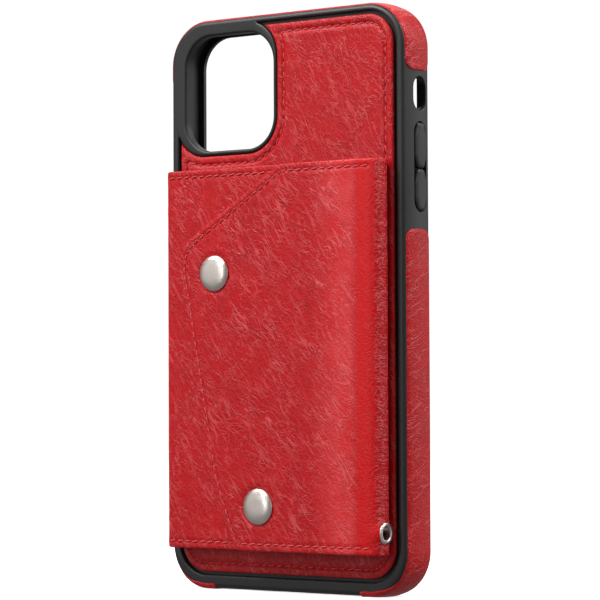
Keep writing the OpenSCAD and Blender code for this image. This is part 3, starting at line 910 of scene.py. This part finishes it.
def make_shell():
    rings = shell_rings()
    soft = 0.75
    recess = panel_outline(GROOVE, -LIP_GAP)
    window = rounded_box(*WINDOW, WINDOW_R)
    back = face_region([rings[0][:, [0, 2]], recess, window], BACK_Y, soft)
    floor = face_region([recess], FLOOR_Y, 0, 6.0)
    inner = face_region([rings[-1][:, [0, 2]], window], CAVITY_BACK_Y, 0, 6.0)
    points, faces = stacked([
        (np.vstack(rings), quads(len(rings), len(rings[0]))), back, floor, inner,
        wall(recess, BACK_Y + soft, FLOOR_Y), wall(window, BACK_Y + soft, CAVITY_BACK_Y),
    ])
    shell = tidy(new_object("shell", points, faces, [RUBBER]))
    low_pad, high_pad = box_mm("volume_down_button")
    _, top_pad = box_mm("volume_up_button")
    power_low, power_high = box_mm("power_button")
    side_y = (low_pad[1] + high_pad[1]) / 2
    pad_half = (high_pad[1] - low_pad[1]) / 2 + PAD_PLAY
    surface = SHELL_HIGH[0]
    pads = (PAD_WEB_X, SIDE_OUT, surface, PAD_FLARE)
    points, faces = stacked([
        slot_cutter(side_y, MUTE_HALF, *MUTE_SPAN, MUTE_IN, SIDE_OUT, surface, MUTE_FLARE),
        slot_cutter(side_y, pad_half, low_pad[2] - PAD_PLAY, top_pad[2] + PAD_PLAY, *pads),
        slot_cutter(side_y, pad_half, power_low[2] - PAD_PLAY, power_high[2] + PAD_PLAY, *pads, side=-1),
        foot_cutter(PORT_HALF, -PORT_REACH, PORT_REACH),
        foot_cutter(SPEAKER_HALF, SPEAKER_NEAR, SPEAKER_FAR),
        foot_cutter(SPEAKER_HALF, -SPEAKER_FAR, -SPEAKER_NEAR),
    ])
    cutter = tidy(new_object("cutter", points, faces, [RUBBER]))
    cut = shell.modifiers.new("slots", "BOOLEAN")
    cut.operation = "DIFFERENCE"
    cut.solver = "EXACT"
    cut.object = cutter
    apply_modifiers(shell)
    bpy.data.objects.remove(cutter)
    tidy(shell, 32)
    smooth = shell.modifiers.new("normals", "WEIGHTED_NORMAL")
    smooth.keep_sharp = True
    claim(shell, "case", "elastomer", "bumper_shell")


def apply_modifiers(obj):
    graph = bpy.context.evaluated_depsgraph_get()
    mesh = bpy.data.meshes.new_from_object(obj.evaluated_get(graph))
    obj.modifiers.clear()
    obj.data = mesh


# ---- leather panel
def on_back(level):
    """Lays a sheet on the back, its datum at a level measured outwards from the panel."""
    return lambda u, v, h: np.column_stack([u, BACK_Y - level - h, v])


def seam_groove(u, v, seams, depth=0.3, width=0.5):
    """The channel that a seam pulls into the leather, with soft ridges beside it."""
    d = np.min([distance(np.column_stack([u, v]), s, closed=False) for s in seams], axis=0)
    ridge, ridge_at, ridge_width = 0.3 * depth, 1.2, 0.7
    return -depth * np.exp(-(d / width) ** 2) + ridge * np.exp(-((d - ridge_at) / ridge_width) ** 2)


def soft_creases(u, v, lean, strength, seed):
    """Broad, low waves in the leather; its material has the fine creases."""
    patch = np.clip(noise(u / 13, v / 13, seed) + 0.4, 0, 1.2)
    angle = lean + 9 * noise(u / 20, v / 20, seed + 1)
    return strength * patch * creases(u, v, angle, 8.0, 2.2, seed + 2)


def make_panel():
    edge = panel_outline()
    seam = offset(edge, PANEL_SEAM_INSET)
    seam = np.vstack([seam, seam[:1]])

    def top(u, v, d):
        puff = 0.1 * np.clip(d / 0.8, 0, 1)
        relief = soft_creases(u, v, PANEL_LEAN, 0.05, 21) * np.clip(d, 0, 1)
        return LEATHER + puff - edge_loss(d, 0.5) + seam_groove(u, v, [seam], *PANEL_GROOVE) + relief

    panel = sheet("panel", edge, on_back(-LEATHER), top, flat_back,
                  skins(PANEL_RED), spacing=0.9, edge=0.5, seams=[seam])
    claim(panel, "case", "leather", "back_panel")
    thread = stitches("panel_stitches", [seam], on_back(-LEATHER), LEATHER - PANEL_SUNK)
    claim(thread, "case", "leather")


# ---- shoulder wraps
STRAIGHT_X = 2 * CORNER_X
STRAIGHT_Z = CORNER_HIGH_Z - CORNER_LOW_Z
QUARTER = math.pi / 2 * CORNER_R
AROUND = 2 * STRAIGHT_X + 2 * STRAIGHT_Z + 4 * QUARTER


def round_the_shell(u, v, h):
    """Lays a sheet on the shell's side: u runs round it from the middle of the foot, up the right side.
    v is depth, and past the rim's rounding it runs on over the back face."""
    u = np.mod(u, AROUND)
    bounds = np.cumsum([STRAIGHT_X / 2, *[QUARTER, STRAIGHT_Z, QUARTER, STRAIGHT_X] * 2][:8])
    starts = np.concatenate([[0], bounds])
    piece = np.searchsorted(bounds, u, side="right")
    past = u - starts[piece]
    low, high = CORNER_LOW_Z, CORNER_HIGH_Z
    begins = np.array([(0, low), *[(CORNER_X, low)] * 2, *[(CORNER_X, high)] * 2,
                       *[(-CORNER_X, high)] * 2, *[(-CORNER_X, low)] * 2])
    straight = piece % 2 == 0
    facing = np.radians(piece // 2 * 90 - 90)
    x = begins[piece, 0] - np.where(straight, np.sin(facing) * past, 0)
    z = begins[piece, 1] + np.where(straight, np.cos(facing) * past, 0)
    angle = facing + np.where(straight, 0, np.clip(past / QUARTER, 0, 1) * math.pi / 2)
    rim = FRONT_Y - RIM_R
    roll = np.clip((-rim - v) / RIM_R, 0, math.pi / 2)
    over = np.maximum(-rim - v - RIM_R * math.pi / 2, 0)
    y = np.where(v < -rim, -rim - RIM_R * np.sin(roll), v)
    out = np.array([skin(float(level)) for level in y]) - over + h * np.cos(roll)
    y = y - h * np.sin(roll)
    return np.column_stack([x + out * np.cos(angle), y, np.maximum(z + out * np.sin(angle), 0.0)])


def make_wrap(name, corners, radii):
    edge = outline([fillet(corners[i - 1], corners[i], corners[(i + 1) % len(corners)], radii[i])
                    for i in range(len(corners))], 0.7)
    if area(edge) < 0:
        edge = edge[::-1]

    def top(u, v, d):
        swell = 0.08 * np.exp(-((d - 0.9) / 0.6) ** 2)
        relief = soft_creases(u, v, WRAP_LEAN, 0.05, 31) * np.clip(d, 0, 1)
        return WRAP_PROUD + swell - edge_loss(d, 0.35) + relief

    wrap = sheet(name + "_leather", edge, round_the_shell, top, lambda u, v, d: 0 * u - 0.15,
                 skins(WRAP_RED), spacing=0.9, edge=0.35)
    claim(wrap, "case", "leather", name)


def make_wraps():
    """The top wrap runs over both shoulders. Each bottom wrap laps over the back rim at its inner end."""
    half = 5.5
    lap = 6.9
    round_end = 3.0
    top_low = WRAP_LOW[2] - CORNER_LOW_Z + STRAIGHT_X / 2 + QUARTER
    top_high = AROUND - top_low
    corners = [(top_low, -half), (top_high, -half), (top_high, half), (top_low, half)]
    make_wrap("wrap_top", corners, [round_end] * 4)
    bottom_low, bottom_high = box_mm("wrap_bottom_right")
    inner = bottom_low[0]
    outer = bottom_high[2] - CORNER_LOW_Z + STRAIGHT_X / 2 + QUARTER
    corners = [(inner, -lap), (inner + 7, -lap), (inner + 14.5, -half),
               (outer, -half), (outer, half), (inner, half)]
    radii = [0.8, 8, 12, round_end, round_end, round_end]
    make_wrap("wrap_bottom_right", corners, radii)
    make_wrap("wrap_bottom_left", [(AROUND - u, v) for u, v in corners], radii)


# ---- buttons
def make_pad(node, body, side):
    """A pad: a raised lozenge with tapered ends."""
    low, high = box_mm(node)
    middle = (low[1] + high[1]) / 2
    half = (high[1] - low[1]) / 2
    inner = min(abs(low[0]), abs(high[0])) + 0.15
    outer = max(abs(low[0]), abs(high[0]))
    z0, z1 = low[2], high[2]
    slope = 3.4
    blunt = 1.5
    corners = [(-blunt, z0), (blunt, z0), (half, z0 + slope), (half, z1 - slope), (blunt, z1), (-blunt, z1),
               (-half, z1 - slope), (-half, z0 + slope)]
    parts = [fillet(corners[i - 1], c, corners[(i + 1) % 8], 1.0 if abs(c[0]) < half else 3.0)
             for i, c in enumerate(corners)]
    edge = outline(parts, 0.5)
    soft = 0.9

    def place(u, v, h):
        return np.column_stack([side * (inner + h), middle + u, v])

    def top(u, v, d):
        return outer - inner - 0.55 * edge_loss(d, soft) - 0.012 * u ** 2

    pad = sheet(node + "_pad", edge, place, top, flat_back, [RUBBER], spacing=0.8, edge=soft)
    claim(pad, body, "elastomer", node)


# ---- wallet
def path_lay(points):
    """Lays a sheet along a path in (x, y): u is the way along its outer face, h its height off its inner."""
    way = np.concatenate([[0], np.cumsum(np.linalg.norm(np.diff(points, axis=0), axis=1))])
    side = -normals(points, closed=False)

    def place(u, v, h):
        at = [np.interp(u, way, points[:, k]) for k in range(2)]
        out = [np.interp(u, way, side[:, k]) for k in range(2)]
        size = np.hypot(*out)
        lift = h - LEATHER
        return np.column_stack([at[0] + out[0] / size * lift, at[1] + out[1] / size * lift, v])
    return place, way


COVER_FAR = 60.0
PATH_STEP = 0.25
FLAP_TILT = 0.6
TILT_FROM = 14


def cover_path(toward):
    """Outer face of the wallet's cover, from far on the left to the pole of its spine.
    toward is -1 for the flap's half, 1 for the base's half. The flap tilts a little before the bend."""
    tilt = FLAP_TILT if toward < 0 else 0.0
    x = np.arange(-COVER_FAR, BEND_X, PATH_STEP)
    ease = np.clip((x - TILT_FROM) / (BEND_X - TILT_FROM), 0, 1) ** 2
    flat = np.column_stack([x, POLE_Y + toward * (WALLET_T / 2 - tilt * ease)])
    turn = np.radians(np.linspace(0, 90, 91))
    power = 2 / BEND_SQUARE
    bend = np.column_stack([BEND_X + BEND_A * np.sin(turn) ** power,
                            POLE_Y + toward * (WALLET_T / 2 - tilt) * np.cos(turn) ** power])
    return np.vstack([flat, bend])


def eyelet_seat(points, h):
    """Leather near the eyelet, pressed flat against the back of its flange."""
    reach = np.hypot(points[:, 1] - POLE_Y, points[:, 2] - EYELET_Z)
    near = np.clip((4.0 - reach) / 1.4, 0, 1)
    near = near * near * (3 - 2 * near)
    aim = POLE_X - 0.06 - (LEATHER - h)
    close = points[:, 0] > BEND_X
    points[:, 0] += np.where(close, near * np.maximum(aim - points[:, 0], 0), 0)
    return points


def snap_centres():
    found = []
    for name in ("upper", "lower"):
        low, high = box_mm("snap_cap_" + name)
        found.append((name, (low[0] + high[0]) / 2, (low[2] + high[2]) / 2))
    return found


def snap_dimple(u, v):
    """Leather pulled down round each snap's cap, with a low swell outside that."""
    pull, pull_r, pull_width = 0.32, 5.0, 0.6
    swell, swell_r, swell_width = 0.06, 7.0, 1.1
    sink = 0 * u
    for _, x, z in snap_centres():
        r = np.hypot(u - x, v - z)
        sink = sink - pull * np.exp(-((r - pull_r) / pull_width) ** 2)
        sink = sink + swell * np.exp(-((r - swell_r) / swell_width) ** 2)
    return sink


def flap_free_edge(right):
    """The flap's free edge from its upper right corner round to its lower right corner."""
    ends = (right, WALLET_HIGH), (right, WALLET_LOW)
    line = [ends[0]] + [c[:2] for c in FLAP_CORNERS] + [ends[1]]
    rounds = [fillet(line[i], line[i + 1], line[i + 2], c[2]) for i, c in enumerate(FLAP_CORNERS)]
    return outline([[ends[0]], *rounds, [ends[1]]], closed=False)


def pole_edge(u_pole):
    """A cover's edge up its pole, with a half round bite for the eyelet's barrel."""
    return [[[u_pole, EYELET_Z - EYELET_CUT]], arc(u_pole, EYELET_Z, EYELET_CUT, -90, -270, 0.4)]


def bend_lines(start, end):
    """Lines up the bend, close enough for it to look round."""
    rows = np.linspace(WALLET_LOW + 1.3, WALLET_HIGH - 1.3, 90)
    return [np.column_stack([np.full(90, x), rows]) for x in np.arange(start, end, 0.55)]


LEVEL_FROM, LEVEL_OVER = 10, 12


def make_flap():
    place, way = path_lay(cover_path(-1))
    pole = way[-1] - COVER_FAR
    free = flap_free_edge(pole)
    edge = outline([free, *pole_edge(pole)])
    seam = offset(free, SEAM_INSET, closed=False)
    seam = seam[seam[:, 0] < pole - 4.5]

    def lay(u, v, h):
        return eyelet_seat(place(u + COVER_FAR, v, h), h)

    def top(u, v, d):
        free_d = distance(np.column_stack([u, v]), free, closed=False)
        crown = 0.16 * np.clip(free_d / 9, 0, 1)
        lean = FLAP_LEAN + (SPINE_LEAN - FLAP_LEAN) * np.clip((u - LEVEL_FROM) / LEVEL_OVER, 0, 1)
        relief = soft_creases(u, v, lean, 0.07, 41) * np.clip(free_d - 0.3, 0, 1)
        sewn = seam_groove(u, v, [seam], *WALLET_GROOVE) + snap_dimple(u, v)
        return LEATHER + crown - edge_loss(free_d, 0.45) + sewn + relief

    def bottom(u, v, d):
        free_d = distance(np.column_stack([u, v]), free, closed=False)
        gap = WALLET_T - LEATHER - (BACK_Y - LINING_LOW[1])
        turned = np.clip((2.4 - free_d) / 0.5, 0, 1) * (u < BEND_X - 1.5)
        return -gap * turned

    cover = sheet("flap_cover", edge, lay, top, bottom, skins(FLAP_RED), spacing=0.8,
                  edge=0.45, seams=[seam], lines=bend_lines(BEND_X - 2, pole - 0.4))
    claim(cover, None, "leather", "flap_leather")
    thread = stitches("flap_stitches", [seam], lay, LEATHER - WALLET_SUNK)
    for piece in (cover, thread):
        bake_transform(piece)


def make_base():
    place, way = path_lay(cover_path(1)[::-1])
    length = way[-1]
    left = BASE_LOW[0]
    right = length - COVER_FAR
    edge = outline([
        [[left, WALLET_LOW]], [[right, WALLET_LOW]], *pole_edge(right),
        [[right, WALLET_HIGH]], [[left, WALLET_HIGH]],
    ])

    def lay(u, v, h):
        return eyelet_seat(place(length - (u + COVER_FAR), v, h), h)

    def top(u, v, d):
        ends = np.minimum(v - WALLET_LOW, WALLET_HIGH - v)
        return LEATHER - edge_loss(ends, 0.4) + soft_creases(u, v, SPINE_LEAN, 0.06, 61) * (u > BEND_X + 1)

    base = sheet("base_cover", edge, lay, top, flat_back, skins(FLAP_RED),
                 spacing=1.6, edge=0.4, lines=bend_lines(BEND_X - 1, right - 0.4))
    claim(base, None, "leather", "wallet_base", "spine_leather")
    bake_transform(base)


def pocket_path():
    """Outer face of the pocket's leather: under its left fold, round it, and across the front."""
    middle = POCKET_T / 2
    fold_x = POCKET_LOW[0] + middle
    power = 2 / 2.5
    under = np.column_stack([np.arange(fold_x + 4, fold_x, -PATH_STEP), np.zeros(16)])
    turn = np.radians(np.linspace(1, 179, 90))
    round_x = fold_x - (middle + 0.15) * np.sin(turn) ** power
    level = middle - middle * np.sign(np.cos(turn)) * np.abs(np.cos(turn)) ** power
    across = np.arange(fold_x + PATH_STEP, 40, PATH_STEP)
    crown = 0.1 * np.sin(np.clip((across - fold_x) / 46, 0, 1) * math.pi)
    path = np.vstack([under, np.column_stack([round_x, level]), np.column_stack([across, POCKET_T + crown])])
    return np.column_stack([path[:, 0], BACK_Y - path[:, 1]])


def make_pocket():
    path = pocket_path()
    place, way = path_lay(path)
    front = path[:, 1] <= BACK_Y - POCKET_T + 0.01
    right = float(np.interp(POCKET_HIGH[0], path[front, 0], way[front]))
    edge = outline([[[0, WALLET_LOW]], [[right, WALLET_LOW]], [[right, WALLET_HIGH]], [[0, WALLET_HIGH]]])
    fold_start = 3.0
    fold_end = 13.0
    rows = [np.column_stack([np.linspace(fold_end - 1.5, right - 1.5, 70), np.full(70, z)])
            for z in (WALLET_LOW + SEAM_INSET, WALLET_HIGH - SEAM_INSET)]

    def top(u, v, d):
        relief = soft_creases(u, v, FLAP_LEAN, 0.06, 51) * np.clip(d - 0.3, 0, 1)
        rounded = edge_loss(d, 0.42) * (u > fold_start)
        return LEATHER - rounded + seam_groove(u, v, rows, *WALLET_GROOVE) + relief

    def bottom(u, v, d):
        ends = np.minimum(v - WALLET_LOW, WALLET_HIGH - v)
        return -1.0 * np.clip((3.4 - ends) / 0.4, 0, 1) * (u > fold_end)

    pocket = sheet("pocket_leather", edge, place, top, bottom, skins(POCKET_RED),
                   spacing=0.9, edge=0.42, seams=rows, lines=bend_lines(fold_start, fold_end))
    claim(pocket, "case", "leather", "pocket_front")
    thread = stitches("pocket_stitches", rows, place, LEATHER - WALLET_SUNK)
    claim(thread, "case", "leather")


def make_lining():
    top_level = BACK_Y - LINING_LOW[1]
    thick = LINING_HIGH[1] - LINING_LOW[1]
    right = LINING_HIGH[0]
    free = flap_free_edge(right + 4)
    inner = offset(free, 0.3, closed=False)
    inner = spaced(inner[inner[:, 0] < right], 0.3)
    edge = outline([inner])
    seam = offset(free, SEAM_INSET, closed=False)
    seam = seam[seam[:, 0] < right - 1.5]

    def lay(u, v, h):
        return np.column_stack([u, BACK_Y - top_level + h, v])

    def top(u, v, d):
        return thick - edge_loss(d, 0.2) + 0.5 * seam_groove(u, v, [seam])

    lining = sheet("flap_inner", edge, lay, top, flat_back, [CLOTH], spacing=1.6, edge=0.2,
                   seams=[seam])
    claim(lining, "flap", "lining", "flap_lining")
    thread = stitches("lining_stitches", [seam], lay, thick - 0.12)
    claim(thread, "flap", "leather")


# ---- snaps and eyelet
def turned(name, profile, centre, out, body, node):
    """A nickel piece turned from a profile, in the place of a CAD node."""
    piece = lathe(name, profile, centre, out, [NICKEL])
    claim(piece, body, "nickel", node)


def cap_profile(r, rise):
    """A flattened dome with a rolled rim, and the shank that holds it in the leather."""
    rim = 0.38
    shank = 1.4
    dome = [((r - 0.1) * t, rim + (rise - rim) * (1 - t ** 3.2) ** 0.62)
            for t in np.sin(np.radians(np.linspace(0, 90, 18)))]
    return dome + [(r - 0.05, rim - 0.02), (r, rim - 0.12), (r - 0.02, 0.14), (r - 0.2, 0.03), (r - 0.6, 0.0),
                   (r - 1.0, -0.12), (shank, -0.2), (shank, -LEATHER), (0, -LEATHER)]


def socket_profile(depth):
    bore, r = 1.85, 3.7
    return [(bore, 0.1), (2.0, 0.0), (2.5, 0.05), (2.75, 0.3), (3.2, 0.35), (3.6, 0.2), (r, 0.35),
            (r, depth), (bore, depth)]


def stud_profile(tall):
    neck, head = 1.35, 1.6
    return [(0, tall), (1.0, tall - 0.02), (1.4, tall - 0.1), (head, tall - 0.25), (1.58, tall - 0.4),
            (neck, tall - 0.6), (neck, 0.55), (head, 0.42), (2.6, 0.38), (3.3, 0.3), (3.6, 0.12),
            (3.55, 0.0), (0, 0)]


def make_snaps():
    out = (0, -1, 0)
    cap_y = BACK_Y - WALLET_T
    for name, x, z in snap_centres():
        low, high = box_mm("snap_cap_" + name)
        profile = cap_profile((high[0] - low[0]) / 2, cap_y - low[1])
        turned("cap_" + name, profile, (x, cap_y, z), out, "flap", "snap_cap_" + name)
        for kind, shape, body in (("socket", socket_profile, "flap"), ("stud", stud_profile, "case")):
            node = "snap_" + kind + "_" + name
            low, high = box_mm(node)
            turned(kind + "_" + name, shape(high[1] - low[1]), (x, high[1], z), out, body, node)


def make_eyelet():
    bore, barrel = 1.8, 2.1
    length = POLE_X - EYELET_LOW[0]
    r = (EYELET_HIGH[2] - EYELET_LOW[2]) / 2
    half = (r - bore) / 2
    rise, rest = 0.05, 0.4
    roll = [(bore + half + half * math.cos(a), rise + rest * math.sin(a))
            for a in np.radians(np.linspace(180, 0, 15))]
    profile = [(bore, -length), *roll, (r - 0.1, -rise), (barrel, -rise), (barrel, -length)]
    turned("eyelet_ring", profile, (POLE_X, POLE_Y, EYELET_Z), (1, 0, 0), "spine", "eyelet")


# ---- CAD nodes that stay
def dress(node, material):
    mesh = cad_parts[node].data
    mesh.materials.clear()
    mesh.materials.append(material)


def dress_nodes():
    for node in ("divider_rear", "divider_front"):
        dress(node, CLOTH)
    for node in ("panel_board", "flap_board"):
        dress(node, BOARD)
    for node in ("snap_post_upper", "snap_post_lower", "eyelet_washer"):
        dress(node, NICKEL)


# ---- studio
def make_stage():
    """A white floor that curves up into a wall all round. It glows, and casts no light on the case."""
    n = Nodes("stage")
    grain = n.noise(n.object_coordinates(), 30, 2)
    tone = n.ramp(grain, [(0.3, (0.84, 0.84, 0.84)), (0.7, (0.88, 0.88, 0.88))])
    n.finish(Base_Color=tone, Roughness=0.7, Emission_Color=(1.0, 1.0, 1.0, 1.0), Emission_Strength=0.8)
    flat, cove, top = 2600, 900, 2600
    profile = [(0.0, 0.0)] + [(flat * t, 0.0) for t in (0.2, 0.5, 0.8)]
    rounds = np.radians(np.linspace(0, 90, 12))
    profile += [(flat + cove * math.sin(a), cove - cove * math.cos(a)) for a in rounds]
    profile += [(flat + cove, top)]
    segments = 64
    clear = 0.05
    turns = np.linspace(0, 2 * math.pi, segments, endpoint=False)
    points = [(r * math.cos(a), r * math.sin(a), h - clear) for r, h in profile for a in turns]
    stage = new_object("stage", np.array(points), quads(len(profile), segments), [n.material])
    bm = bmesh.new()
    bm.from_mesh(stage.data)
    bmesh.ops.remove_doubles(bm, verts=bm.verts, dist=1e-6)
    for f in bm.faces:
        f.smooth = True
    bm.to_mesh(stage.data)
    bm.free()
    stage.visible_glossy = False
    stage.visible_diffuse = False


def look(obj, target):
    obj.rotation_mode = "QUATERNION"
    obj.rotation_quaternion = (Vector(target) - obj.location).to_track_quat("-Z", "Y")


def soft_light(name, azimuth, elevation, far, width, height, power):
    """An area light aimed at the case's middle; azimuth turns from the -y side towards +x, and elevation
    rises from level.
    """
    a, e = math.radians(azimuth), math.radians(elevation)
    way = Vector((math.sin(a) * math.cos(e), -math.cos(a) * math.cos(e), math.sin(e)))
    middle = Vector((0, 0, 0.085))
    data = bpy.data.lights.new(name, "AREA")
    data.shape = "RECTANGLE"
    data.size, data.size_y, data.energy = width, height, power
    light = bpy.data.objects.new(name, data)
    bpy.context.scene.collection.objects.link(light)
    light.location = middle + far * way
    look(light, middle)


def make_lights():
    soft_light("key", -30, 54, 1.0, 0.9, 0.6, 13.0)
    soft_light("side", 118, 44, 1.0, 0.5, 0.5, 7.0)
    soft_light("edge", 86, 8, 1.1, 0.10, 0.7, 0.8)
    soft_light("sheen", -16, 8, 1.2, 0.12, 0.6, 2.0)
    soft_light("fill", -48, 8, 1.2, 0.5, 0.7, 0.6)
    soft_light("rear", 146, 12, 1.2, 0.5, 0.8, 1.7)
    soft_light("back", 215, 45, 1.1, 0.6, 0.5, 2.0)
    world = bpy.data.worlds.new("studio")
    world.use_nodes = True
    world.node_tree.nodes["Background"].inputs["Color"].default_value = (1, 1, 1, 1)
    world.node_tree.nodes["Background"].inputs["Strength"].default_value = 0.24
    bpy.context.scene.world = world


# The camera: its lens, its place and aim in millimetres, and its roll in degrees
LENS = 156.08
EYE = (435.52, -588.51, 57.48)
AIM = (5.373, -6.3, 81.574)
ROLL = -0.257


def make_camera():
    data = bpy.data.cameras.new("camera")
    data.sensor_width = 36.0
    data.lens = LENS
    data.clip_start, data.clip_end = 0.05, 20
    camera = bpy.data.objects.new("camera", data)
    bpy.context.scene.collection.objects.link(camera)
    camera.location = Vector(EYE) * MM
    look(camera, Vector(AIM) * MM)
    roll = Quaternion((0, 0, 1), math.radians(ROLL))
    camera.rotation_quaternion = camera.rotation_quaternion @ roll
    bpy.context.scene.camera = camera


make_shell()
make_panel()
make_wraps()
make_pad("volume_up_button", "volume_up", 1)
make_pad("volume_down_button", "volume_down", 1)
make_pad("power_button", "power", -1)
make_base()
make_pocket()
make_flap()
make_lining()
make_snaps()
make_eyelet()
dress_nodes()
make_stage()
make_lights()
make_camera()
bpy.context.scene.view_settings.view_transform = "Standard"
